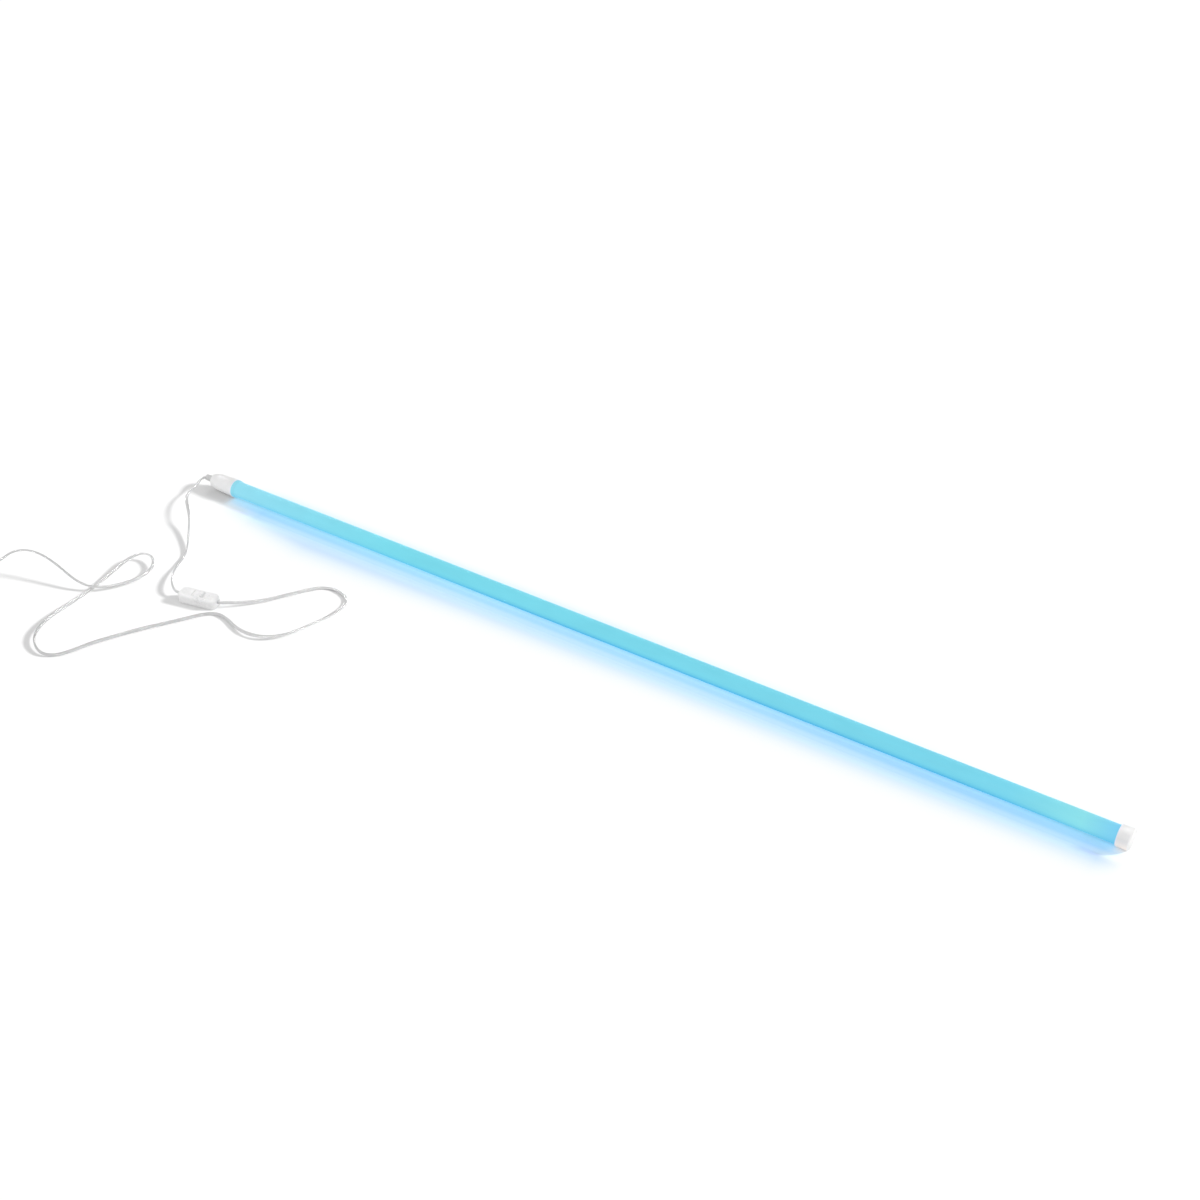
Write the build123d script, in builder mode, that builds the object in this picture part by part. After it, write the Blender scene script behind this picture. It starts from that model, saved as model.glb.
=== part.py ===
"""Linear LED tube lamp: opal tube, two end caps, flat mains lead, in-line rocker switch, two-pin plug.

Millimetres, +Z up. The tube lies along X on the surface z = 0, with its lead at the -X end.
"""

import math
import os

from build123d import *

os.makedirs("parts", exist_ok=True)

# Lamp body
overall_length = 1500.0
tube_diameter = 25.0
tube_wall = 1.5
cap_diameter = 28.0
slide_fit = 0.1
seat_gap = 0.2
same_size = 0.01

# End cap
end_cap_length = 17.0
end_seat_depth = 12.0
end_wall = 2.6
end_edge_round = 1.6
spigot_length = 8.0
spigot_wall = 1.4
gate_mark_radius = 1.3
gate_mark_depth = 0.5

# Power cap and collar
power_cap_length = 48.0
power_seat_depth = 10.0
rim_land = 4.0
shoulder_distance = 36.0
shoulder_radius = 12.9
back_radius = 9.6
shoulder_round = 9.0
back_round = 2.2
power_wall = 1.7
power_back_wall = 2.4
rim_round = 0.4
collar_width = 6.5
collar_land = 2.6
collar_radius = 13.9
collar_front_radius = 13.0
collar_hollow = 0.25

# Cord grip
grip_length = 15.0
grip_flange_radius = 6.0
grip_flange_length = 3.0
grip_barrel_radius = 5.3
grip_tip_radius = 4.7
grip_tip_round = 0.9
grip_stem_radius = 4.9
grip_stem_length = 9.0
grip_mouth_radius = 3.3
grip_mouth_length = 2.2
locknut_flats = 13.0
locknut_thickness = 3.0

# LED rail, board and packages
rail_wall = 1.2
rail_fit = 0.15
rail_deck_drop = 4.0
rail_lip_rise = 2.2
rail_lip_width = 1.2
rail_lip_thickness = 0.8
rail_end_gap = 1.2
board_width = 17.0
board_thickness = 1.2
board_end_inset = 1.0
led_length = 3.5
led_width = 2.8
led_height = 0.8
led_pitch = 20.0
led_margin = 9.0

# Driver in the power cap
driver_length = 21.0
driver_width = 15.0
driver_end_gap = 2.3
ledge_width = 4.6
ledge_thickness = 2.0
ledge_bite = 0.4
capacitor_diameter = 8.0
capacitor_length = 11.0
capacitor_offset = -3.2
choke_diameter = 6.0
choke_height = 5.0
choke_offset = 4.2
rectifier_length = 5.0
rectifier_width = 4.2
rectifier_height = 2.2
part_margin = 3.6
supply_core_radius = 0.8
supply_core_rise = 0.9
supply_core_spread = 3.0
supply_core_bend = 1.4
led_wire_radius = 0.6
led_wire_spread = 6.0
led_wire_overlap = 2.0

# Flat twin lead, drawn as a round of its full width
cord_width = 5.0
cord_fit = 0.1
core_spacing = 2.5
lamp_cord_inset = 7.0
corner_share = 0.45
grip_lead_out = 3.5
switch_lead_out = 14.0
coil_lead_in = 8.0
tail_lead_in = 10.0

# In-line switch, lying on the lead
switch_centre = (-531.5, -242.8)
switch_turn = 12.2
switch_length = 62.0
switch_width = 22.4
switch_height = 16.0
switch_parting = 9.0
switch_corner = 8.5
switch_wall = 1.6
switch_base_round = 3.0
switch_top_round = 4.0
switch_cord_inset = 9.0
switch_dimple_place = 17.0
switch_dimple_radius = 1.4
switch_dimple_depth = 0.6
screw_inset = 10.0
screw_offset = 6.8
screw_boss_radius = 2.3
screw_shank_radius = 1.1
screw_head_radius = 2.0
screw_head_length = 1.3
screw_fit = 0.1
screw_pilot_depth = 3.4

# Rocker and its contacts
rocker_half_length = 7.3
rocker_corner_rise = 4.6
rocker_middle_rise = 3.6
rocker_depth = 3.0
rocker_width = 11.0
rocker_gap = 0.35
rocker_pivot_drop = 3.5
rocker_tilt = 8.0
rocker_edge_round = 0.5
lengthwise_limit = 0.5
pivot_radius = 1.2
pivot_length = 1.3
pivot_fit = 0.1
bearing_thickness = 1.5
bearing_half_length = 2.6
leaf_length = 10.0
leaf_width = 8.4
leaf_thickness = 0.5
contact_gap = 0.3
terminal_gap = 2.5
terminal_end = -3.5
terminal_width = 3.6
terminal_thickness = 1.4
terminal_spread = 2.6
terminal_screw_inset = 4.0
terminal_screw_radius = 1.0
terminal_head_radius = 1.7
terminal_head_height = 1.2
contact_place = -4.9
contact_radius = 1.1
switch_core_radius = 0.8
neutral_spread = 6.3
core_bend = 1.6

# Coil of spare lead, its tie and the plug
coil_centre = (-822.0, -420.0)
coil_radius = 27.0
coil_section_width = 6.6
coil_section_height = 10.2
coil_section_round = 2.5
tie_angle = 215.0
tie_width = 4.0
tie_thickness = 0.8
tie_fit = 0.15
tie_end_radius = 0.9
tie_end_length = 9.0
plug_front = (-754.0, -473.0)
plug_turn = -20.0
plug_width = 35.0
plug_height = 13.7
plug_corner = 5.6
plug_block_length = 14.0
plug_taper_length = 18.0
plug_neck_width = 13.0
plug_neck_height = 11.0
plug_neck_round = 4.5
plug_face_round = 1.2
sleeve_length = 12.0
sleeve_tip_radius = 3.6
plug_cord_depth = 8.0
pin_spacing = 18.6
pin_radius = 2.0
pin_length = 19.0
pin_bare_length = 9.0
pin_shank_radius = 1.4
pin_sleeve_radius = 1.8
pin_root_depth = 8.0
pin_tip_round = 1.4
pin_fit = 0.05

# Places that follow from the sizes above
axis_height = cap_diameter / 2
cap_radius = cap_diameter / 2
tube_radius = tube_diameter / 2
bore_radius = tube_radius - tube_wall
seat_radius = tube_radius + slide_fit
end_face_x = overall_length / 2
end_rim_x = end_face_x - end_cap_length
grip_tip_x = -overall_length / 2
power_back_x = grip_tip_x + grip_length
power_rim_x = power_back_x + power_cap_length
tube_start_x = power_rim_x - power_seat_depth
tube_end_x = end_rim_x + end_seat_depth
power_inner_back_x = power_back_x + power_back_wall
power_step_x = tube_start_x - seat_gap
end_step_x = tube_end_x + seat_gap
cord_bore_radius = cord_width / 2 + cord_fit
cord_rest = cord_width / 2
spigot_start_x = end_step_x - spigot_length
rail_start_x = tube_start_x + rail_end_gap
rail_end_x = spigot_start_x - rail_end_gap
board_bottom = axis_height - rail_deck_drop
board_top = board_bottom + board_thickness
driver_end_x = power_step_x - driver_end_gap
driver_start_x = driver_end_x - driver_length
core_end_u = switch_length / 2 - switch_cord_inset
core_turn_u = core_end_u - core_spacing
terminal_start = terminal_gap - core_turn_u
terminal_screw_place = terminal_start + terminal_screw_inset
coil_rest = tie_thickness + tie_fit

lamp_axis = Axis((0, 0, axis_height), (1, 0, 0))
lamp_section = Plane(origin=(0, 0, axis_height), x_dir=(1, 0, 0), z_dir=(0, -1, 0))


def across_lamp(x):
    """Plane square to the lamp at x, with its origin on the lamp's axis, +Y to the right and +Z up."""
    return Plane(origin=(x, 0, axis_height), x_dir=(0, 1, 0), z_dir=(1, 0, 0))


def level_plane(z):
    """Plane at height z, seen from above."""
    return Plane.XY.offset(z)


def save(piece, name):
    """Label a finished piece and write its STEP file."""
    piece.part.label = name
    export_step(piece.part, f"parts/{name}.step")


# Diffuser tube
with BuildPart() as diffuser_tube:
    with BuildSketch(across_lamp(tube_start_x)):
        Circle(tube_radius)
        Circle(bore_radius, mode=Mode.SUBTRACT)
    extrude(amount=tube_end_x - tube_start_x)
save(diffuser_tube, "diffuser_tube")

# End cap: a cup over the tube with a spigot inside it
spigot_radius = bore_radius - slide_fit
with BuildPart() as end_cap:
    with BuildSketch(lamp_section):
        with BuildLine():
            Polyline(
                (end_face_x - end_wall, 0),
                (end_face_x - end_wall, spigot_radius - spigot_wall),
                (spigot_start_x, spigot_radius - spigot_wall),
                (spigot_start_x, spigot_radius),
                (end_step_x, spigot_radius),
                (end_step_x, seat_radius),
                (end_rim_x, seat_radius),
                (end_rim_x, cap_radius),
                (end_face_x, cap_radius),
                (end_face_x, gate_mark_radius),
                (end_face_x - gate_mark_depth, 0),
                close=True,
            )
        make_face()
    revolve(axis=lamp_axis)
    outer_edges = end_cap.edges().filter_by(GeomType.CIRCLE).sort_by(SortBy.RADIUS)[-2:]
    fillet(outer_edges.sort_by(Axis.X)[-1], end_edge_round)
    outer_edges = end_cap.edges().filter_by(GeomType.CIRCLE).sort_by(SortBy.RADIUS)[-2:]
    fillet(outer_edges.sort_by(Axis.X)[0], rim_round)
save(end_cap, "end_cap")

# Power cap: a tapering hood with two ledges for the driver board
shoulder_x = power_rim_x - shoulder_distance
step_radius = bore_radius + seat_gap
inner_back_radius = back_radius - power_wall
inner_shoulder_radius = shoulder_radius - power_wall
ledge_outer = math.sqrt((step_radius + ledge_bite) ** 2 - rail_deck_drop**2)
with BuildPart() as power_cap:
    with BuildSketch(lamp_section):
        with BuildLine():
            Polyline(
                (power_rim_x, seat_radius),
                (power_rim_x, cap_radius),
                (power_rim_x - rim_land, cap_radius),
                (shoulder_x, shoulder_radius),
                (power_back_x, back_radius),
                (power_back_x, grip_stem_radius + slide_fit),
                (power_inner_back_x, grip_stem_radius + slide_fit),
                (power_inner_back_x, inner_back_radius),
                (shoulder_x, inner_shoulder_radius),
                (power_step_x, step_radius),
                (power_step_x, seat_radius),
                close=True,
            )
        make_face()
    revolve(axis=lamp_axis)
    rings = power_cap.edges().filter_by(GeomType.CIRCLE)
    fillet(rings.filter_by(lambda e: abs(e.radius - shoulder_radius) < same_size), shoulder_round)
    rings = power_cap.edges().filter_by(GeomType.CIRCLE)
    fillet(rings.filter_by(lambda e: abs(e.radius - back_radius) < same_size), back_round)
    rings = power_cap.edges().filter_by(GeomType.CIRCLE)
    fillet(rings.sort_by(SortBy.RADIUS)[-2:].sort_by(Axis.X)[-1], rim_round)
    with BuildSketch(across_lamp(driver_start_x)):
        with Locations((0, -rail_deck_drop - ledge_thickness / 2)):
            with GridLocations(2 * ledge_outer - ledge_width, 0, 2, 1):
                Rectangle(ledge_width, ledge_thickness)
    extrude(amount=driver_length)
save(power_cap, "power_cap")

# Translucent collar on the tube, against the power cap's rim
with BuildPart() as tube_collar:
    with BuildSketch(lamp_section):
        with BuildLine():
            front_x = power_rim_x + collar_width
            Polyline(
                (front_x, collar_front_radius),
                (front_x, seat_radius),
                (power_rim_x, seat_radius),
                (power_rim_x, collar_radius),
                (power_rim_x + collar_land, collar_radius),
            )
            ThreePointArc(
                (power_rim_x + collar_land, collar_radius),
                ((power_rim_x + collar_land + front_x) / 2, collar_front_radius + collar_hollow),
                (front_x, collar_front_radius),
            )
        make_face()
    revolve(axis=lamp_axis)
save(tube_collar, "tube_collar")

# Cord grip: flanged bush through the power cap's back wall, with a flared mouth
with BuildPart() as cord_grip:
    with BuildSketch(lamp_section):
        with BuildLine():
            Polyline(
                (power_back_x + grip_stem_length, cord_bore_radius),
                (power_back_x + grip_stem_length, grip_stem_radius),
                (power_back_x, grip_stem_radius),
                (power_back_x, grip_flange_radius),
                (power_back_x - grip_flange_length, grip_flange_radius),
                (power_back_x - grip_flange_length, grip_barrel_radius),
                (grip_tip_x, grip_tip_radius),
                (grip_tip_x, grip_mouth_radius),
                (grip_tip_x + grip_mouth_length, cord_bore_radius),
                close=True,
            )
        make_face()
    revolve(axis=lamp_axis)
    tip_edge = cord_grip.edges().filter_by(GeomType.CIRCLE).group_by(Axis.X)[0].sort_by(SortBy.RADIUS)[-1]
    fillet(tip_edge, grip_tip_round)
save(cord_grip, "cord_grip")

with BuildPart() as grip_locknut:
    with BuildSketch(across_lamp(power_inner_back_x)):
        RegularPolygon(locknut_flats / 2, 6, major_radius=False)
        Circle(grip_stem_radius + slide_fit, mode=Mode.SUBTRACT)
    extrude(amount=locknut_thickness)
save(grip_locknut, "grip_locknut")

# LED rail: a D-shaped extrusion with a deck and two lips that hold the board
rail_radius = bore_radius - rail_fit
lip_y = board_width / 2 + rail_lip_width / 2 - rail_fit
deck_half = math.sqrt(rail_radius**2 - (rail_deck_drop + rail_wall) ** 2) - rail_fit
with BuildPart() as led_rail:
    with BuildSketch(across_lamp(rail_start_x)):
        Circle(rail_radius)
        Circle(rail_radius - rail_wall, mode=Mode.SUBTRACT)
        with Locations((0, rail_radius - rail_lip_rise + rail_lip_thickness / 2)):
            Rectangle(2 * rail_radius, 2 * rail_radius, mode=Mode.SUBTRACT)
        with Locations((0, -rail_deck_drop - rail_wall / 2)):
            Rectangle(2 * deck_half, rail_wall)
        with Locations((lip_y, -rail_lip_rise), (-lip_y, -rail_lip_rise)):
            Rectangle(rail_lip_width, rail_lip_thickness)
    extrude(amount=rail_end_x - rail_start_x)
save(led_rail, "led_rail")

board_start_x = rail_start_x + board_end_inset
board_end_x = rail_end_x - board_end_inset
with BuildPart() as led_board:
    with BuildSketch(across_lamp(board_start_x)):
        with Locations((0, -rail_deck_drop + board_thickness / 2)):
            Rectangle(board_width, board_thickness)
    extrude(amount=board_end_x - board_start_x)
save(led_board, "led_board")

led_count = int((board_end_x - board_start_x - 2 * led_margin) // led_pitch) + 1
led_middle_x = (board_start_x + board_end_x) / 2
with BuildPart() as leds:
    with BuildSketch(level_plane(board_top)):
        with Locations((led_middle_x, 0)):
            with GridLocations(led_pitch, 0, led_count, 1):
                Rectangle(led_length, led_width)
    extrude(amount=led_height)
save(leds, "leds")

# Driver board on the power cap's ledges, and the parts soldered to it
with BuildPart() as driver_board:
    with BuildSketch(across_lamp(driver_start_x)):
        with Locations((0, -rail_deck_drop + board_thickness / 2)):
            Rectangle(driver_width, board_thickness)
    extrude(amount=driver_length)
save(driver_board, "driver_board")

capacitor_height = board_top - axis_height + capacitor_diameter / 2
capacitor_start_x = driver_end_x - part_margin - capacitor_length
with BuildPart() as driver_capacitor:
    with BuildSketch(across_lamp(capacitor_start_x)):
        with Locations((capacitor_offset, capacitor_height)):
            Circle(capacitor_diameter / 2)
    extrude(amount=capacitor_length)
    fillet(driver_capacitor.edges().filter_by(GeomType.CIRCLE), rim_round)
save(driver_capacitor, "driver_capacitor")

with BuildPart() as driver_choke:
    with BuildSketch(level_plane(board_top)):
        with Locations((driver_end_x - part_margin - choke_diameter / 2, choke_offset)):
            Circle(choke_diameter / 2)
    extrude(amount=choke_height)
save(driver_choke, "driver_choke")

rectifier_x = driver_end_x - part_margin - choke_diameter - seat_gap - rectifier_length / 2
with BuildPart() as driver_rectifier:
    with BuildSketch(level_plane(board_top)):
        with Locations((rectifier_x, choke_offset)):
            Rectangle(rectifier_length, rectifier_width)
    extrude(amount=rectifier_height)
save(driver_rectifier, "driver_rectifier")

# Bare cores of the lead, from the cord grip down onto the driver board
cord_start_x = grip_tip_x + lamp_cord_inset
supply_level = board_top + supply_core_radius
core_y = core_spacing / 2
stem_end_x = power_back_x + grip_stem_length
with BuildPart() as supply_cores:
    for side in (1, -1):
        with BuildLine() as core_path:
            FilletPolyline(
                (cord_start_x, side * core_y, axis_height),
                (stem_end_x + supply_core_rise, side * core_y, axis_height),
                (driver_start_x - supply_core_rise, side * supply_core_spread, supply_level),
                (driver_start_x + supply_core_spread, side * supply_core_spread, supply_level),
                radius=supply_core_bend,
            )
        with BuildSketch(Plane(origin=core_path.line @ 0, z_dir=core_path.line % 0)):
            Circle(supply_core_radius)
        sweep(path=core_path.line)
save(supply_cores, "supply_cores")

led_wire_start_x = driver_end_x - led_wire_overlap
led_wire_end_x = board_start_x + led_wire_overlap
with BuildPart() as led_wires:
    with BuildSketch(across_lamp(led_wire_start_x)):
        with Locations((0, board_top - axis_height + led_wire_radius)):
            with GridLocations(2 * led_wire_spread, 0, 2, 1):
                Circle(led_wire_radius)
    extrude(amount=led_wire_end_x - led_wire_start_x)
save(led_wires, "led_wires")

# In-line switch frame: u along the lead towards the plug, v across, z up
along = Vector(math.cos(math.radians(switch_turn)), math.sin(math.radians(switch_turn)), 0)
across = Vector(-along.Y, along.X, 0)
switch_origin = Vector(*switch_centre, 0)


def switch_level(z):
    """Level plane of the switch at height z, with its x along the lead."""
    return Plane(origin=switch_origin + Vector(0, 0, z), x_dir=along, z_dir=(0, 0, 1))


def switch_point(u, v, z):
    """Place of a switch point in the lamp's frame."""
    return switch_origin + along * u + across * v + Vector(0, 0, z)


def switch_cross(u):
    """Plane square to the lead at u, on the parting line, with its x across the switch."""
    return Plane(origin=switch_point(u, 0, switch_parting), x_dir=across, z_dir=along)


def switch_plan(inset):
    """Plan of the switch case, moved in by inset."""
    RectangleRounded(switch_length - 2 * inset, switch_width - 2 * inset, switch_corner - inset)


screw_u = switch_length / 2 - screw_inset
screw_places = [(screw_u, -screw_offset), (-screw_u, screw_offset)]
switch_ceiling = switch_height - switch_wall
pivot_height = switch_height - rocker_pivot_drop

with BuildPart() as switch_base:
    with BuildSketch(switch_level(0)):
        switch_plan(0)
    extrude(amount=switch_parting)
    fillet(switch_base.faces().sort_by(Axis.Z)[0].edges(), switch_base_round)
    with BuildSketch(switch_level(switch_wall)):
        switch_plan(switch_wall)
        with Locations(*screw_places):
            Circle(screw_boss_radius, mode=Mode.SUBTRACT)
    extrude(amount=switch_parting - switch_wall, mode=Mode.SUBTRACT)
    with BuildSketch(switch_level(0)):
        with Locations(*screw_places):
            Circle(screw_shank_radius + screw_fit)
    extrude(amount=switch_parting, mode=Mode.SUBTRACT)
    with BuildSketch(switch_level(0)):
        with Locations(*screw_places):
            Circle(screw_head_radius + screw_fit)
    extrude(amount=screw_head_length + screw_fit, mode=Mode.SUBTRACT)
    with BuildSketch(switch_cross(-switch_length / 2)):
        Circle(cord_bore_radius)
    extrude(amount=switch_length, mode=Mode.SUBTRACT)
save(switch_base, "switch_base")

rocker_sweep = math.hypot(rocker_half_length, rocker_corner_rise)
window_length = 2 * (rocker_sweep + rocker_gap)
window_width = rocker_width + 2 * rocker_gap
bearing_v = window_width / 2 + bearing_thickness / 2
bearing_bottom = pivot_height - 2 * pivot_radius
with BuildPart() as switch_cover:
    with BuildSketch(switch_level(switch_parting)):
        switch_plan(0)
    extrude(amount=switch_height - switch_parting)
    fillet(switch_cover.faces().sort_by(Axis.Z)[-1].edges(), switch_top_round)
    with BuildSketch(switch_level(switch_parting)):
        switch_plan(switch_wall)
        with Locations(*screw_places):
            Circle(screw_boss_radius, mode=Mode.SUBTRACT)
    extrude(amount=switch_ceiling - switch_parting, mode=Mode.SUBTRACT)
    with BuildSketch(switch_level(switch_parting)):
        with Locations(*screw_places):
            Circle(screw_shank_radius + screw_fit)
    extrude(amount=screw_pilot_depth, mode=Mode.SUBTRACT)
    with BuildSketch(switch_level(switch_parting)):
        Rectangle(window_length, window_width)
    extrude(amount=switch_height - switch_parting, mode=Mode.SUBTRACT)
    with BuildSketch(switch_level(bearing_bottom)):
        with GridLocations(0, 2 * bearing_v, 1, 2):
            Rectangle(2 * bearing_half_length, bearing_thickness)
    extrude(amount=switch_ceiling - bearing_bottom + rocker_gap)
    pivot_plane = Plane(origin=switch_point(0, 0, pivot_height), x_dir=along, z_dir=across)
    with BuildSketch(pivot_plane.offset(-bearing_v - bearing_thickness)):
        Circle(pivot_radius + pivot_fit)
    extrude(amount=2 * (bearing_v + bearing_thickness), mode=Mode.SUBTRACT)
    with BuildSketch(switch_cross(-switch_length / 2)):
        Circle(cord_bore_radius)
    extrude(amount=switch_length, mode=Mode.SUBTRACT)
    with BuildSketch(switch_level(switch_height - switch_dimple_depth)):
        with Locations((switch_dimple_place, 0)):
            Circle(switch_dimple_radius)
    extrude(amount=switch_dimple_depth, mode=Mode.SUBTRACT)
save(switch_cover, "switch_cover")

with BuildPart() as case_screws:
    with BuildSketch(switch_level(0)):
        with Locations(*screw_places):
            Circle(screw_head_radius)
    extrude(amount=screw_head_length)
    with BuildSketch(switch_level(screw_head_length)):
        with Locations(*screw_places):
            Circle(screw_shank_radius)
    extrude(amount=switch_parting + screw_pilot_depth - screw_fit - screw_head_length)
save(case_screws, "case_screws")

# Rocker, at rest with its plug end raised: x along the tilted rocker, y up from the pivot
tilt = math.radians(rocker_tilt)
rocker_x = along * math.cos(tilt) + Vector(0, 0, math.sin(tilt))
rocker_plane = Plane(origin=switch_point(0, 0, pivot_height), x_dir=rocker_x, z_dir=-across)
rocker_foot = math.sqrt(rocker_sweep**2 - rocker_depth**2)
with BuildPart() as switch_rocker:
    with BuildSketch(rocker_plane):
        with BuildLine():
            Polyline(
                (-rocker_half_length, rocker_corner_rise),
                (0, rocker_middle_rise),
                (rocker_half_length, rocker_corner_rise),
            )
            ThreePointArc(
                (rocker_half_length, rocker_corner_rise), (rocker_sweep, 0), (rocker_foot, -rocker_depth)
            )
            Line((rocker_foot, -rocker_depth), (-rocker_foot, -rocker_depth))
            ThreePointArc(
                (-rocker_foot, -rocker_depth), (-rocker_sweep, 0), (-rocker_half_length, rocker_corner_rise)
            )
        make_face()
    extrude(amount=rocker_width / 2, both=True)
    upper_faces = switch_rocker.faces().filter_by(GeomType.PLANE).sort_by(Axis.Z)[-2:]
    side_edges = upper_faces.edges().filter_by(lambda e: abs((e % 0.5).dot(across)) < lengthwise_limit)
    fillet(side_edges, rocker_edge_round)
    with BuildSketch(rocker_plane):
        Circle(pivot_radius)
    extrude(amount=rocker_width / 2 + pivot_length, both=True)
save(switch_rocker, "switch_rocker")

with BuildPart() as contact_leaf:
    with BuildSketch(rocker_plane):
        with Locations((0, -rocker_depth - leaf_thickness / 2)):
            Rectangle(leaf_length, leaf_thickness)
    extrude(amount=leaf_width / 2, both=True)
save(contact_leaf, "contact_leaf")

# Fixed terminals under the rocker's lowered end, with their clamp screws
leaf_drop = (rocker_depth + leaf_thickness) * math.cos(tilt) + leaf_length / 2 * math.sin(tilt)
contact_top = pivot_height - leaf_drop - contact_gap
terminal_top = switch_wall + terminal_thickness
terminal_middle = (terminal_start + terminal_end) / 2
with BuildPart() as switch_terminals:
    with BuildSketch(switch_level(switch_wall)):
        with Locations((terminal_middle, terminal_spread), (terminal_middle, -terminal_spread)):
            Rectangle(terminal_end - terminal_start, terminal_width)
        with Locations((terminal_screw_place, terminal_spread), (terminal_screw_place, -terminal_spread)):
            Circle(terminal_screw_radius + screw_fit, mode=Mode.SUBTRACT)
    extrude(amount=terminal_thickness)
    with BuildSketch(switch_level(terminal_top)):
        with Locations((contact_place, terminal_spread), (contact_place, -terminal_spread)):
            Circle(contact_radius)
    extrude(amount=contact_top - terminal_top)
save(switch_terminals, "switch_terminals")

with BuildPart() as terminal_screws:
    with BuildSketch(switch_level(switch_wall)):
        with Locations((terminal_screw_place, terminal_spread), (terminal_screw_place, -terminal_spread)):
            Circle(terminal_screw_radius)
    extrude(amount=terminal_thickness)
    with BuildSketch(switch_level(terminal_top)):
        with Locations((terminal_screw_place, terminal_spread), (terminal_screw_place, -terminal_spread)):
            Circle(terminal_head_radius)
    extrude(amount=terminal_head_height)
save(terminal_screws, "terminal_screws")

# Split cores of the lead inside the switch: lamp side, plug side and the uncut one
core_level = switch_wall + switch_core_radius + cord_fit
lamp_live = [
    (-core_end_u, core_y, switch_parting),
    (-core_turn_u, core_y, switch_parting),
    (terminal_start - core_spacing, terminal_spread, core_level),
    (terminal_start, terminal_spread, core_level),
]
plug_live = [
    (core_end_u, core_y, switch_parting),
    (core_turn_u, core_y, switch_parting),
    (core_turn_u - neutral_spread, -terminal_spread, core_level),
    (terminal_end, -terminal_spread, core_level),
]
neutral = [
    (-core_end_u, -core_y, switch_parting),
    (-core_turn_u, -core_y, switch_parting),
    (terminal_start, -neutral_spread, core_level),
    (-terminal_screw_place, -neutral_spread, core_level),
    (core_turn_u, -core_y, switch_parting),
    (core_end_u, -core_y, switch_parting),
]
with BuildPart() as switch_cores:
    for core in (lamp_live, plug_live, neutral):
        with BuildLine() as core_path:
            FilletPolyline(*[switch_point(*place) for place in core], radius=core_bend)
        with BuildSketch(Plane(origin=core_path.line @ 0, z_dir=core_path.line % 0)):
            Circle(switch_core_radius)
        sweep(path=core_path.line)
save(switch_cores, "switch_cores")

# Lead routes, as laid out by hand; the ends follow the cord grip, the switch, the coil and the plug
plug_along = Vector(math.cos(math.radians(plug_turn)), math.sin(math.radians(plug_turn)), 0)
plug_across = Vector(-plug_along.Y, plug_along.X, 0)
plug_axis_height = plug_height / 2
plug_origin = Vector(*plug_front, plug_axis_height)
plug_tail_length = plug_block_length + plug_taper_length + sleeve_length
coil_low = coil_rest + cord_rest
coil_high = coil_rest + coil_section_height - cord_rest

lamp_cord_route = [
    (cord_start_x, 0, axis_height),
    (grip_tip_x - grip_lead_out, 0, axis_height),
    (-753.5, -13, 13.5),
    (-748, -30, 12.5),
    (-744, -47.5, 12.5),
    (-729.5, -65, 14),
    (-710, -81, 15.5),
    (-693.5, -95.5, 15.2),
    (-678.5, -113, 12),
    (-662, -132, 7.4),
    (-647, -150, 4),
    (-635, -167.5, cord_rest),
    (-627, -188.5, 3.2),
    (-612, -214, 7.5),
    (-593, -236, 10.4),
    (-577.5, -248, 10.8),
    switch_point(-core_end_u - switch_lead_out, 0, switch_parting),
    switch_point(-core_end_u, 0, switch_parting),
]
plug_cord_route = [
    switch_point(core_end_u, 0, switch_parting),
    switch_point(core_end_u + switch_lead_out, 0, switch_parting),
    (-491.5, -229, 8),
    (-478, -218.5, 6.6),
    (-465, -204, 5),
    (-453, -186, 3),
    (-442.5, -167.5, cord_rest),
    (-420, -130.5, cord_rest),
    (-406.5, -116.5, cord_rest),
    (-388.5, -112, cord_rest),
    (-368, -117, cord_rest),
    (-357, -127.5, cord_rest),
    (-352.5, -144, cord_rest),
    (-355.5, -170.5, cord_rest),
    (-364.5, -201, cord_rest),
    (-372.5, -229, 4),
    (-384.5, -252, 5.6),
    (-404.5, -263, 5.8),
    (-425, -265, 4.8),
    (-446, -261, 3),
    (-470.5, -251.5, cord_rest),
    (-492.5, -250.5, cord_rest),
    (-508.5, -266, cord_rest),
    (-521.5, -288, cord_rest),
    (-556.5, -340.5, cord_rest),
    (-586, -397, cord_rest),
    (-594.5, -424.5, cord_rest),
    (-605.5, -445.5, cord_rest),
    (-623, -454.5, 4),
    (-644, -447.5, 6),
    (-659.5, -433.5, 7.4),
    (-671, -412.5, 7.5),
    (-678.5, -384.5, 6),
    (-681.5, -348.5, 3.6),
    (-683.5, -315, cord_rest),
    (-687.5, -282, 3.2),
    (-689.5, -248.5, 6.6),
    (-688.5, -225, 10),
    (-681.5, -209, 12),
    (-668, -204, 11.2),
    (-654.5, -210.5, 9),
    (-645, -224.5, 6.4),
    (-644, -247.5, 4.4),
    (-653, -272, 4.6),
    (-665.5, -294.5, 6.6),
    (-681, -306.5, 8.4),
    (-698, -313, 12),
    (-716, -314, 17.5),
    (-737, -313.5, 26),
    (-759, -314.5, 34),
    (-778.5, -318.5, 39.5),
    (-796.5, -324.5, 40),
    (-811.5, -335, 36),
    (-818.5, -351.5, 28),
    (-829, -369, 19.5),
    (-840, -385, 11),
    (-848, -398, 5),
    (coil_centre[0] - coil_radius, coil_centre[1] + coil_lead_in, coil_low),
]
plug_tail_route = [
    (-840, -440.5, coil_high),
    (-823, -447.5, coil_high),
    plug_origin - plug_along * (plug_tail_length + tail_lead_in),
    plug_origin - plug_along * (plug_tail_length - plug_cord_depth),
]


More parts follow.
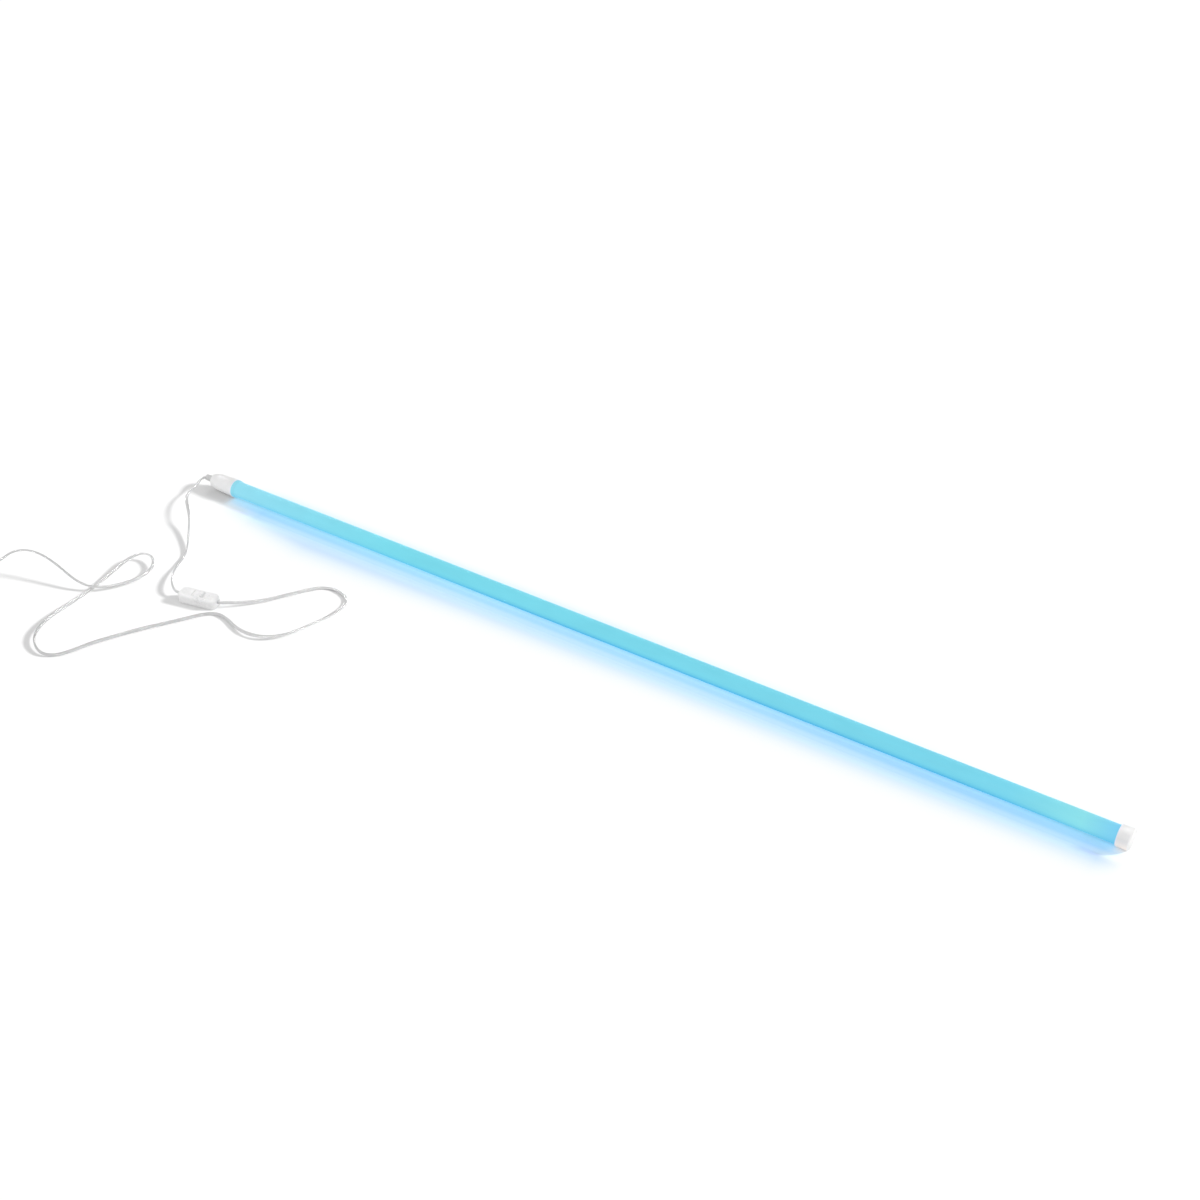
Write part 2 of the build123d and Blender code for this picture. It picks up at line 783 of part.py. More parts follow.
def corner_radii(route):
    """Largest even arc for each corner: a share of its shorter run over the tangent of half its turn."""
    points = [Vector(*place) for place in route]
    radii = []
    for before, here, after in zip(points, points[1:], points[2:]):
        shorter = min((here - before).length, (after - here).length)
        turn = math.radians((here - before).get_angle(after - here))
        radii.append(corner_share * shorter / math.tan(turn / 2))
    return radii


def cord_tube(name, route):
    """Round tube along a route of straight runs and tangent arcs."""
    radii = corner_radii(route)
    with BuildPart() as tube:
        with BuildLine() as path:
            FilletPolyline(*route, radius=radii)
        with BuildSketch(Plane(origin=path.line @ 0, z_dir=path.line % 0)):
            Circle(cord_width / 2)
        sweep(path=path.line)
    length = path.wires()[0].length
    share = tube.part.volume / (math.pi * cord_width**2 / 4 * length)
    print(name, "length", round(length), "volume share", round(share, 4))
    print("  radii", [round(radius) for radius in radii])
    save(tube, name)


cord_tube("lamp_cord", lamp_cord_route)
cord_tube("plug_cord", plug_cord_route)
cord_tube("plug_tail", plug_tail_route)

# Coil of spare lead and the tie round it
coil_axis = Axis((*coil_centre, 0), (0, 0, 1))
coil_middle = coil_rest + coil_section_height / 2
with BuildPart() as cord_coil:
    with BuildSketch(Plane(origin=(*coil_centre, 0), x_dir=(1, 0, 0), z_dir=(0, -1, 0))):
        with Locations((coil_radius, coil_middle)):
            RectangleRounded(coil_section_width, coil_section_height, coil_section_round)
    revolve(axis=coil_axis)
save(cord_coil, "cord_coil")

tie_out = Vector(math.cos(math.radians(tie_angle)), math.sin(math.radians(tie_angle)), 0)
tie_centre = Vector(*coil_centre, coil_middle) + tie_out * coil_radius
tie_plane = Plane(origin=tie_centre, x_dir=tie_out, z_dir=tie_out.cross(Vector(0, 0, 1)))
tie_end_start = coil_section_width / 2 + tie_fit + tie_thickness / 2
with BuildPart() as coil_tie:
    with BuildSketch(tie_plane):
        for grow, mode in ((tie_fit + tie_thickness, Mode.ADD), (tie_fit, Mode.SUBTRACT)):
            RectangleRounded(
                coil_section_width + 2 * grow,
                coil_section_height + 2 * grow,
                coil_section_round + grow,
                mode=mode,
            )
    extrude(amount=tie_width / 2, both=True)
    with BuildSketch(Plane(origin=tie_centre + tie_out * tie_end_start, z_dir=tie_out)):
        Circle(tie_end_radius)
    extrude(amount=tie_end_length)
save(coil_tie, "coil_tie")

# Two-pin plug, lying flat, with a tapered sleeve for the lead
plug_face = Plane(origin=plug_origin, x_dir=plug_across, z_dir=plug_along)
plug_shoulder = -plug_block_length
plug_neck = plug_shoulder - plug_taper_length
with BuildPart() as plug_body:
    with BuildSketch(plug_face.offset(plug_shoulder)):
        RectangleRounded(plug_width, plug_height, plug_corner)
    extrude(amount=plug_block_length)
    fillet(plug_body.faces().sort_by(Axis(tuple(plug_origin), tuple(plug_along)))[-1].edges(), plug_face_round)
    with BuildSketch(plug_face.offset(plug_shoulder)):
        RectangleRounded(plug_width, plug_height, plug_corner)
    with BuildSketch(plug_face.offset(plug_neck)):
        RectangleRounded(plug_neck_width, plug_neck_height, plug_neck_round)
    loft()
    with BuildSketch(plug_face.offset(plug_neck)):
        Circle(plug_neck_round)
    with BuildSketch(plug_face.offset(plug_neck - sleeve_length)):
        Circle(sleeve_tip_radius)
    loft()
    with BuildSketch(plug_face.offset(plug_neck - sleeve_length)):
        Circle(cord_bore_radius)
    extrude(amount=plug_cord_depth, mode=Mode.SUBTRACT)
    with BuildSketch(plug_face):
        with GridLocations(pin_spacing, 0, 2, 1):
            Circle(pin_shank_radius + pin_fit)
    extrude(amount=-pin_root_depth, mode=Mode.SUBTRACT)
save(plug_body, "plug_body")

pin_sleeve_length = pin_length - pin_bare_length
with BuildPart() as plug_pins:
    with BuildSketch(plug_face.offset(-pin_root_depth)):
        with GridLocations(pin_spacing, 0, 2, 1):
            Circle(pin_shank_radius)
    extrude(amount=pin_root_depth + pin_sleeve_length)
    with BuildSketch(plug_face.offset(pin_sleeve_length)):
        with GridLocations(pin_spacing, 0, 2, 1):
            Circle(pin_radius)
    extrude(amount=pin_bare_length)
    tip_edges = plug_pins.edges().group_by(Axis(tuple(plug_origin), tuple(plug_along)))[-1]
    fillet(tip_edges, pin_tip_round)
save(plug_pins, "plug_pins")

with BuildPart() as pin_sleeves:
    with BuildSketch(plug_face):
        with GridLocations(pin_spacing, 0, 2, 1):
            Circle(pin_sleeve_radius)
            Circle(pin_shank_radius + pin_fit, mode=Mode.SUBTRACT)
    extrude(amount=pin_sleeve_length)
save(pin_sleeves, "pin_sleeves")
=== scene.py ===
"""Looks of a linear LED tube lamp: lit opal tube, moulded caps, clear flat lead, in-line switch and plug.

Metres, +Z up, in the frame of the solids: the tube lies along X on the floor z = 0.
"""

import math

import bpy
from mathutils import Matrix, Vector


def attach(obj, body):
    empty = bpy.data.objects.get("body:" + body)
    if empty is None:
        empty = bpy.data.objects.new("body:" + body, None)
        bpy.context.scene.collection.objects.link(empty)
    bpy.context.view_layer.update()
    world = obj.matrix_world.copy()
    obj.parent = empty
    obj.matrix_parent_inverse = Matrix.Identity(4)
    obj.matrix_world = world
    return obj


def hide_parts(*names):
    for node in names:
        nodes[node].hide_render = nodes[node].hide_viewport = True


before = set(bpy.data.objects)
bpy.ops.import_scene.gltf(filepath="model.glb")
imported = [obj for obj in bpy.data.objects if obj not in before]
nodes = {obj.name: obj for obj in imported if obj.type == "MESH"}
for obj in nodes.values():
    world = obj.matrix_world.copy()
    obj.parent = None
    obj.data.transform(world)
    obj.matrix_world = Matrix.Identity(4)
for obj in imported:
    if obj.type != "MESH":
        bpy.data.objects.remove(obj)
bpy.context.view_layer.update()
scene = bpy.context.scene
scene.view_settings.view_transform = "Standard"

# Camera
CAMERA_PLACE = (1.05732, -1.6057, 1.42878)
CAMERA_AZIMUTH = 33.54
CAMERA_ELEVATION = 35.26
CAMERA_LENS = 51.87
SENSOR_WIDTH = 36.0

# Light
KEY_DIRECTION = (1.5, 1.0, 1.0)
KEY_STRENGTH = 1.2
KEY_ON_FLOOR = 1.5
KEY_SOFTNESS = 9.0
TOP_DIRECTION = (-0.1, -0.8, 0.7)
TOP_STRENGTH = 0.7
TOP_SOFTNESS = 60.0
AMBIENT = 0.66
FLOOR_SIZE = 16.0
FLOOR_WHITE = 0.93
FLOOR_LIFT = 0.05

# Light of the tube on the floor in front of it
GLOW_COLOUR = (0.36, 0.60, 1.0)
GLOW_POWER = 0.11
GLOW_SIZE = (1.355, 0.024)
GLOW_PLACE = (0.0375, -0.029, 0.022)
GLOW_LEAN = 48.0
GLOW_REACH = 0.125
# Painted light and shade on the floor: light in the gap under the tube, a deeper, bluer shadow near its
# ends, a deeper shadow beside the power cap
CONTACT_GLOW = (0.13, 0.165, 0.15)
SHADOW_END_TINT = (0.86, 0.92, 1.0)
CAP_SHADOW_SHADE = 0.87

# Spans of the painted glow and shadow on the floor, each from where its share is 0 to where it is 1
ALONG_FLOOR = (-0.7, 0.7)
IN_SHADOW = (0.0, -0.04)
PAST_SHADOW = (-0.031, -0.035)
BEHIND_TUBE = (0.03, 0.06)
GLOW_FROM = (-0.695, -0.62)
GLOW_UNTIL = (0.756, 0.722)
POWER_END_FROM = (-0.69, -0.683)
POWER_END_UNTIL = (-0.621, -0.658)
FAR_END_FROM = (0.702, 0.731)
FAR_END_UNTIL = (0.75, 0.741)
CAP_SHADOW_FROM = (-0.742, -0.73)
CAP_SHADOW_UNTIL = (-0.686, -0.698)
CAP_SHADOW_NEAR = (-0.003, -0.013)
CAP_SHADOW_FAR = (-0.031, -0.022)

# Tube and caps
AXIS_HEIGHT = 0.014
TUBE_RADIUS = 0.0125
TUBE_LIGHT = (0.035, 0.10, 0.11)
TUBE_DARK = (0.03, 0.09, 0.10)
OVER_RAIL_COLOUR = (0.05, 0.38, 0.66)
CAP_LIGHT = 0.87
CAP_DARK = 0.825
# Painted light on the caps: glow at the rims, on the end cap's face and top, and light and a warmer tint on
# its underside
RIM_GLOW = (0.03, 0.03, 0.10)
END_FACE_GLOW = 0.07
END_TOP_GLOW = 0.12
END_FLOOR_GLOW = (0.19, 0.13, 0.10)
END_FLOOR_LIGHT_TINT = (0.96, 0.88, 0.80)

# Spans on the tube and caps, each from where its share is 0 to where it is 1; over the rail in tube radii;
# the rim and end cap spans place painted light and shade
OVER_RAIL = (0.35, -0.42)
ALONG_TUBE = (-0.69, 0.74)
POWER_RIM = (-0.6905, -0.687)
END_RIM = (0.7355, 0.733)
END_SIDE = (0.749, 0.747)
END_TOP = (0.0255, 0.0278)
END_UNDERSIDE = (0.018, 0.006)
END_SHADED_BAND = (0.01, 0.026)

# Noise spans and depths of grain
SOFT_NOISE = (0.3, 0.7)
FIRM_NOISE = (0.35, 0.65)
SPECK_NOISE = (0.46, 0.58)
GRAIN_DEPTH = 0.0002
DRAWN_DEPTH = 0.0001

# Contacts that show through the frosted switch as faint specks
CONTACT_PLACE = (-0.523, -0.2491, 0.0155)
CONTACT_REACH = (0.016, 0.007)
SPECK_SHADE = 0.86

# Flat twin lead
LEAD_WIDTH = 0.005
LEAD_THICKNESS = 0.0025
LOBE_POINTS = 11
LOBE_REACH = 130.0
GROOVE_HALF = 0.0008
STEPS_PER_POINT = 14
STRAND_LINES = 9
STRAND_PITCH = 0.015
STRAND_LIGHT = 0.80
STRAND_DARK = 0.67
LEAD_CLOUD = 0.77
PAINTED_STRETCH_LENGTH = 1.4
# Painted light on the lead near the grip, where the cap's shadow falls
GRIP_PLACE = (-0.752, -0.022, 0.0135)
GRIP_REACH = (0.075, 0.02)
GRIP_PAINTED_LIGHT = 0.86

# Coil of spare lead
COIL_CENTRE = (-0.822, -0.420)
COIL_OUTER = 0.0284
COIL_INNER = 0.0256
COIL_LOW = 0.00345
COIL_HIGH = 0.00865
COIL_START = 180.0
COIL_TURN = 1150.0
COIL_STEP = 22.0
COIL_INWARD = (300.0, 360.0)
COIL_CLIMB = (570.0, 650.0)
COIL_OUTWARD = (860.0, 930.0)

# Routes of the lead as x, y, z and the roll of its wide side: 0 lies flat, 90 stands on edge
LAMP_LEAD_ROUTE = [
    (-0.7430, 0.0000, 0.0140, 90),
    (-0.7535, 0.0000, 0.0140, 90),
    (-0.7535, -0.0130, 0.0135, 75),
    (-0.7480, -0.0300, 0.0125, 35),
    (-0.7420, -0.0505, 0.0150, 15),
    (-0.7265, -0.0695, 0.0180, 5),
    (-0.7070, -0.0855, 0.0195, 20),
    (-0.6910, -0.0990, 0.0182, 60),
    (-0.6785, -0.1130, 0.0120, 90),
    (-0.6620, -0.1320, 0.0074, 95),
    (-0.6470, -0.1500, 0.0040, 85),
    (-0.6350, -0.1675, 0.0025, 45),
    (-0.6270, -0.1885, 0.0032, 10),
    (-0.6120, -0.2140, 0.0075, 45),
    (-0.5930, -0.2360, 0.0104, 85),
    (-0.5775, -0.2480, 0.0108, 90),
    (-0.5667, -0.2504, 0.0090, 90),
    (-0.5530, -0.2474, 0.0090, 90),
]
PLUG_LEAD_ROUTE = [
    (-0.5100, -0.2382, 0.0090, 90),
    (-0.4963, -0.2352, 0.0090, 90),
    (-0.4915, -0.2290, 0.0080, 85),
    (-0.4780, -0.2185, 0.0066, 75),
    (-0.4650, -0.2040, 0.0050, 60),
    (-0.4530, -0.1860, 0.0030, 50),
    (-0.4425, -0.1675, 0.0025, 50),
    (-0.4200, -0.1305, 0.0025, 20),
    (-0.4065, -0.1165, 0.0025, -20),
    (-0.3885, -0.1120, 0.0025, -35),
    (-0.3680, -0.1170, 0.0025, -20),
    (-0.3570, -0.1275, 0.0025, -10),
    (-0.3525, -0.1440, 0.0025, 0),
    (-0.3555, -0.1705, 0.0025, 40),
    (-0.3645, -0.2010, 0.0025, 35),
    (-0.3725, -0.2290, 0.0040, 10),
    (-0.3845, -0.2520, 0.0056, -20),
    (-0.4045, -0.2630, 0.0058, -45),
    (-0.4250, -0.2650, 0.0048, -60),
    (-0.4460, -0.2610, 0.0030, -80),
    (-0.4705, -0.2515, 0.0025, -85),
    (-0.4925, -0.2505, 0.0025, -75),
    (-0.5085, -0.2660, 0.0025, -55),
    (-0.5215, -0.2880, 0.0025, -50),
    (-0.5565, -0.3405, 0.0025, -50),
    (-0.5860, -0.3970, 0.0025, -65),
    (-0.5945, -0.4245, 0.0025, -80),
    (-0.6055, -0.4455, 0.0025, -90),
    (-0.6230, -0.4545, 0.0040, -90),
    (-0.6440, -0.4475, 0.0060, -90),
    (-0.6595, -0.4335, 0.0074, -90),
    (-0.6710, -0.4125, 0.0075, -100),
    (-0.6785, -0.3845, 0.0060, -125),
    (-0.6815, -0.3485, 0.0036, -146),
    (-0.6835, -0.3150, 0.0025, -146),
    (-0.6875, -0.2820, 0.0032, -146),
    (-0.6895, -0.2485, 0.0066, -125),
    (-0.6885, -0.2250, 0.0100, -80),
    (-0.6815, -0.2090, 0.0120, -40),
    (-0.6680, -0.2040, 0.0112, -37),
    (-0.6545, -0.2105, 0.0090, -60),
    (-0.6450, -0.2245, 0.0064, -70),
    (-0.6440, -0.2475, 0.0044, -60),
    (-0.6530, -0.2720, 0.0046, -30),
    (-0.6655, -0.2945, 0.0066, -10),
    (-0.6810, -0.3065, 0.0084, 15),
    (-0.6980, -0.3130, 0.0120, 36),
    (-0.7160, -0.3140, 0.0175, 37),
    (-0.7370, -0.3135, 0.0260, 37),
    (-0.7590, -0.3145, 0.0340, 37),
    (-0.7785, -0.3185, 0.0395, 37),
    (-0.7965, -0.3245, 0.0400, 37),
    (-0.8115, -0.3350, 0.0360, 40),
    (-0.8185, -0.3515, 0.0280, 50),
    (-0.8290, -0.3690, 0.0195, 65),
    (-0.8400, -0.3850, 0.0110, 80),
    (-0.8480, -0.3980, 0.0050, 90),
]
PLUG_TAIL_ROUTE = [
    (-0.8230, -0.4499, COIL_HIGH, 90),
    (-0.8047, -0.4545, 0.00685, 90),
    (-0.7878, -0.4607, 0.00685, 90),
]


# Node helpers

def new_material(name):
    """Material with a bare Principled shader; gives the material, its tree and the shader."""
    material = bpy.data.materials.new(name)
    material.use_nodes = True
    tree = material.node_tree
    return material, tree, tree.nodes["Principled BSDF"]


def add(tree, kind, inputs=None, **settings):
    """Add a shader node; inputs are values or sockets by name or number."""
    made = tree.nodes.new("ShaderNode" + kind)
    for name, value in settings.items():
        setattr(made, name, value)
    for name, value in (inputs or {}).items():
        if isinstance(value, bpy.types.NodeSocket):
            tree.links.new(value, made.inputs[name])
        else:
            made.inputs[name].default_value = value
    return made


def math_node(tree, operation, first, second=0.0):
    """One arithmetic step."""
    return add(tree, "Math", {0: first, 1: second}, operation=operation).outputs[0]


def times(tree, first, *others):
    """Product of values."""
    product = first
    for other in others:
        product = math_node(tree, "MULTIPLY", product, other)
    return product


def spread(tree, value, low, high):
    """Map a value from low..high onto 0..1."""
    made = add(tree, "MapRange", {"Value": value, "From Min": low, "From Max": high})
    return made.outputs["Result"]


def object_place(tree):
    """Place on the object."""
    return add(tree, "TexCoord").outputs["Object"]


def split(tree, vector):
    """The x, y and z of a vector."""
    parts = add(tree, "SeparateXYZ", {0: vector}).outputs
    return parts["X"], parts["Y"], parts["Z"]


def distance_from(tree, place, centre):
    """Distance of a place from a fixed centre."""
    return add(tree, "VectorMath", {0: place, 1: centre}, operation="DISTANCE").outputs["Value"]


def noise(tree, place, scale, detail=2.0, roughness=0.5):
    """Noise factor over a place."""
    inputs = {"Vector": place, "Scale": scale, "Detail": detail, "Roughness": roughness}
    return add(tree, "TexNoise", inputs).outputs["Fac"]


def grey(value):
    """Neutral colour."""
    return (value, value, value)


def ramp(tree, factor, stops):
    """Colour ramp over factor; stops are (place, linear colour)."""
    made = add(tree, "ValToRGB", {"Fac": factor})
    elements = made.color_ramp.elements
    elements[0].position = stops[0][0]
    elements[1].position = stops[-1][0]
    for place, _ in stops[1:-1]:
        elements.new(place)
    for element, (_, colour) in zip(elements, stops):
        element.color = (*colour, 1.0)
    return made.outputs["Color"]


def grey_ramp(tree, factor, stops):
    """Neutral ramp over factor; stops are (place, value)."""
    return ramp(tree, factor, [(place, grey(value)) for place, value in stops])


def mix_colour(tree, factor, first, second, blend="MIX"):
    """Mix of two colours."""
    made = add(tree, "Mix", data_type="RGBA", blend_type=blend)
    for number, value in ((0, factor), (6, first), (7, second)):
        if isinstance(value, bpy.types.NodeSocket):
            tree.links.new(value, made.inputs[number])
        elif number == 0:
            made.inputs[number].default_value = value
        else:
            made.inputs[number].default_value = (*value, 1.0)
    return made.outputs[2]


def bump(tree, shader, height, strength, distance):
    """Bump from a height, into the shader's normal."""
    made = add(tree, "Bump", {"Height": height, "Strength": strength, "Distance": distance})
    tree.links.new(made.outputs["Normal"], shader.inputs["Normal"])


def seen_rays(tree):
    """One where the camera, a reflection or a clear piece looks, else zero."""
    rays = add(tree, "LightPath").outputs
    seen = math_node(tree, "MAXIMUM", rays["Is Camera Ray"], rays["Is Glossy Ray"])
    return math_node(tree, "MAXIMUM", seen, rays["Is Transmission Ray"])


def dress(node, material):
    """Give a node of the frame one material."""
    slots = nodes[node].data.materials
    slots.clear()
    slots.append(material)


# Materials

def lit_material(name, strength):
    """Opal plastic lit from inside: even blue, paler at the lead's end, dimmer over the rail underneath."""
    material, tree, shader = new_material(name)
    place = object_place(tree)
    x, _, z = split(tree, place)
    along = spread(tree, x, *ALONG_TUBE)
    colour = ramp(
        tree,
        along,
        [
            (0.0, (0.265, 0.655, 0.80)),
            (0.10, (0.21, 0.625, 0.765)),
            (0.22, (0.155, 0.61, 0.735)),
            (0.90, (0.155, 0.575, 0.735)),
            (0.965, (0.225, 0.66, 0.73)),
            (1.0, (0.15, 0.50, 0.80)),
        ],
    )
    height = math_node(tree, "DIVIDE", math_node(tree, "SUBTRACT", z, AXIS_HEIGHT), TUBE_RADIUS)
    underside = math_node(tree, "POWER", spread(tree, height, *OVER_RAIL), 2.0)
    depth = grey_ramp(tree, along, [(0.0, 0.35), (0.2, 0.5), (0.4, 1.0), (0.85, 1.0), (1.0, 0.4)])
    colour = mix_colour(tree, times(tree, underside, depth), colour, OVER_RAIL_COLOUR)
    stretched = add(tree, "Mapping", {"Vector": place, "Scale": (14.0, 60.0, 60.0)}).outputs[0]
    cloud = spread(tree, noise(tree, stretched, scale=1.0, detail=3.0), *SOFT_NOISE)
    shade = grey_ramp(tree, cloud, [(0.0, 0.955), (1.0, 1.0)])
    glow = mix_colour(tree, 1.0, colour, shade, "MULTIPLY")
    tree.links.new(glow, shader.inputs["Emission Color"])
    shader.inputs["Emission Strength"].default_value = strength
    tint = mix_colour(tree, cloud, TUBE_DARK, TUBE_LIGHT)
    tree.links.new(tint, shader.inputs["Base Color"])
    shader.inputs["Roughness"].default_value = 0.42
    shader.inputs["Specular IOR Level"].default_value = 0.2
    bump(tree, shader, noise(tree, place, scale=900.0), strength=0.06, distance=GRAIN_DEPTH)
    return material


def shade_end_cap(tree, x, z, at_end, colour, glow):
    """End cap: painted shade in a band round it, painted light on its face, top and underside; gives colour
    and glow.
    """
    side = times(tree, spread(tree, x, *END_SIDE), at_end)
    face = math_node(tree, "SUBTRACT", at_end, side)
    glow = mix_colour(tree, face, glow, grey(END_FACE_GLOW), "ADD")
    from_above = times(tree, spread(tree, z, *END_TOP), side)
    glow = mix_colour(tree, from_above, glow, grey(END_TOP_GLOW), "ADD")
    from_floor = times(tree, spread(tree, z, *END_UNDERSIDE), side)
    glow = mix_colour(tree, from_floor, glow, END_FLOOR_GLOW, "ADD")
    colour = mix_colour(tree, from_floor, colour, END_FLOOR_LIGHT_TINT, "MULTIPLY")
    height = spread(tree, z, *END_SHADED_BAND)
    shaded_band = grey_ramp(tree, height, [(0.0, 1.0), (0.35, 0.90), (0.62, 0.87), (1.0, 1.0)])
    colour = mix_colour(tree, side, colour, shaded_band, "MULTIPLY")
    return colour, glow


def cap_material():
    """White moulded plastic, spark-eroded, with painted light from the tube at its rims."""
    material, tree, shader = new_material("cap_white")
    place = object_place(tree)
    x, _, z = split(tree, place)
    patch = noise(tree, place, scale=90.0, detail=3.0)
    colour = mix_colour(tree, spread(tree, patch, *SOFT_NOISE), grey(CAP_DARK), grey(CAP_LIGHT))
    at_power = math_node(tree, "LESS_THAN", x, 0.0)
    at_end = math_node(tree, "SUBTRACT", 1.0, at_power)
    # Painted glow of the tube's light at the rims
    power_leak = times(tree, spread(tree, x, *POWER_RIM), at_power)
    end_leak = times(tree, spread(tree, x, *END_RIM), at_end)
    leak = math_node(tree, "ADD", power_leak, end_leak)
    glow = mix_colour(tree, leak, grey(0.0), RIM_GLOW)
    colour, glow = shade_end_cap(tree, x, z, at_end, colour, glow)
    tree.links.new(colour, shader.inputs["Base Color"])
    tree.links.new(glow, shader.inputs["Emission Color"])
    shader.inputs["Emission Strength"].default_value = 1.0
    shader.inputs["Roughness"].default_value = 0.46
    shader.inputs["Specular IOR Level"].default_value = 0.45
    material.cycles.emission_sampling = "NONE"
    bump(tree, shader, noise(tree, place, scale=2600.0), strength=0.12, distance=GRAIN_DEPTH)
    return material


def clear_plastic(name, light, dark, roughness, inside=0.0):
    """Frosted translucent plastic, clouded, with a painted glow of its own and painted light, palest on
    top.
    """
    material, tree, shader = new_material(name)
    place = object_place(tree)
    cloud = spread(tree, noise(tree, place, scale=260.0, detail=4.0, roughness=0.6), *FIRM_NOISE)
    colour = mix_colour(tree, cloud, dark, light)
    facing = split(tree, add(tree, "NewGeometry").outputs["Normal"])[2]
    # Painted light: faces that look up are paler
    painted_top_light = grey_ramp(tree, facing, [(0.0, 0.88), (0.9, 1.0)])
    colour = mix_colour(tree, 1.0, colour, painted_top_light, "MULTIPLY")
    near_contacts = spread(tree, distance_from(tree, place, CONTACT_PLACE), *CONTACT_REACH)
    specks = times(tree, spread(tree, noise(tree, place, scale=420.0), *SPECK_NOISE), near_contacts)
    colour = mix_colour(tree, specks, colour, grey(SPECK_SHADE), "MULTIPLY")
    tree.links.new(colour, shader.inputs["Base Color"])
    # Painted glow of its own, as strong as inside
    tree.links.new(colour, shader.inputs["Emission Color"])
    shader.inputs["Emission Strength"].default_value = inside
    material.cycles.emission_sampling = "NONE"
    shader.inputs["Roughness"].default_value = roughness
    shader.inputs["Specular IOR Level"].default_value = 0.3
    shader.inputs["Coat Weight"].default_value = 0.12
    shader.inputs["Coat Roughness"].default_value = 0.25
    bump(tree, shader, noise(tree, place, scale=1500.0), strength=0.08, distance=GRAIN_DEPTH)
    return material


def lead_material():
    """Clear flexible plastic over two bundles of twisted strands; painted light and shade along it, palest
    at the grip.
    """
    material, tree, shader = new_material("lead_clear")
    along, lobe_turn, _ = split(tree, add(tree, "Attribute", attribute_name="lay").outputs["Vector"])
    pitches = math_node(tree, "DIVIDE", along, STRAND_PITCH)
    lines = math_node(tree, "ADD", pitches, times(tree, lobe_turn, STRAND_LINES))
    strand = spread(tree, math_node(tree, "SINE", times(tree, lines, math.tau)), -1.0, 1.0)
    place = object_place(tree)
    cloud = noise(tree, place, scale=140.0, detail=3.0)
    colour = mix_colour(tree, strand, grey(STRAND_DARK), grey(STRAND_LIGHT))
    colour = mix_colour(tree, spread(tree, cloud, *FIRM_NOISE), colour, grey(LEAD_CLOUD))
    # Painted light and shade: lighter and darker stretches along the lead
    show = grey_ramp(
        tree,
        spread(tree, along, 0.0, PAINTED_STRETCH_LENGTH),
        [
            (0.0, 0.90),
            (0.10, 0.91),
            (0.15, 1.0),
            (0.21, 0.90),
            (0.30, 0.89),
            (0.36, 0.78),
            (0.53, 0.78),
            (0.59, 0.99),
            (0.69, 0.99),
            (0.82, 0.87),
        ],
    )
    colour = mix_colour(tree, 1.0, colour, show, "MULTIPLY")
    # Painted light near the grip, where the cap's shadow falls
    painted_light_at_grip = spread(tree, distance_from(tree, place, GRIP_PLACE), *GRIP_REACH)
    colour = mix_colour(tree, painted_light_at_grip, colour, grey(GRIP_PAINTED_LIGHT))
    tree.links.new(colour, shader.inputs["Base Color"])
    shader.inputs["Roughness"].default_value = 0.6
    shader.inputs["Specular IOR Level"].default_value = 0.12
    return material


def moulded(name, light, dark, roughness, grain=1800.0):
    """Plain moulded plastic with a fine grain."""
    material, tree, shader = new_material(name)
    place = object_place(tree)
    patch = spread(tree, noise(tree, place, scale=120.0, detail=3.0), *SOFT_NOISE)
    tree.links.new(mix_colour(tree, patch, dark, light), shader.inputs["Base Color"])
    shader.inputs["Roughness"].default_value = roughness
    bump(tree, shader, noise(tree, place, scale=grain), strength=0.1, distance=GRAIN_DEPTH)
    return material


def metal(name, light, dark, roughness):
    """Plated or drawn metal with fine drawn lines."""
    material, tree, shader = new_material(name)
    place = object_place(tree)
    drawn = add(tree, "Mapping", {"Vector": place, "Scale": (40.0, 900.0, 900.0)}).outputs[0]
    line = noise(tree, drawn, scale=1.0, detail=3.0)
    tree.links.new(mix_colour(tree, line, dark, light), shader.inputs["Base Color"])
    shader.inputs["Metallic"].default_value = 1.0
    shader.inputs["Roughness"].default_value = roughness
    bump(tree, shader, line, strength=0.05, distance=DRAWN_DEPTH)
    return material


lit_tube = lit_material("tube_opal", strength=1.0)
lit_collar = lit_material("collar_clear", strength=0.95)
white_cap = cap_material()
grip_plastic = clear_plastic("grip_clear", grey(0.70), grey(0.58), roughness=0.35)
# The switch and its rocker get a painted glow that lifts their shade
switch_plastic = clear_plastic("switch_frosted", grey(0.87), grey(0.81), roughness=0.42, inside=0.08)
rocker_plastic = clear_plastic("rocker_frosted", grey(0.87), grey(0.81), roughness=0.40, inside=0.12)
lead_plastic = lead_material()
tie_plastic = moulded("tie_white", grey(0.80), grey(0.74), roughness=0.5)
plug_plastic = moulded("plug_white", grey(0.82), grey(0.78), roughness=0.42)
sleeve_plastic = moulded("sleeve_dark", grey(0.055), grey(0.04), roughness=0.5)
core_plastic = moulded("core_insulation", grey(0.72), grey(0.66), roughness=0.5)
board_green = moulded("board_green", (0.06, 0.22, 0.10), (0.05, 0.18, 0.08), roughness=0.4, grain=700.0)
board_white = moulded("board_white", grey(0.84), grey(0.80), roughness=0.4, grain=700.0)
package_yellow = moulded("led_package", (0.85, 0.76, 0.32), (0.80, 0.70, 0.28), roughness=0.35)
part_black = moulded("component_black", grey(0.05), grey(0.035), roughness=0.45)
part_grey = moulded("component_grey", grey(0.20), grey(0.16), roughness=0.7)
nickel = metal("pin_nickel", (0.78, 0.76, 0.72), (0.66, 0.64, 0.60), roughness=0.18)
brass = metal("contact_brass", (0.80, 0.60, 0.28), (0.70, 0.52, 0.24), roughness=0.28)
steel = metal("screw_steel", grey(0.66), grey(0.54), roughness=0.32)
aluminium = metal("rail_aluminium", grey(0.78), grey(0.68), roughness=0.36)

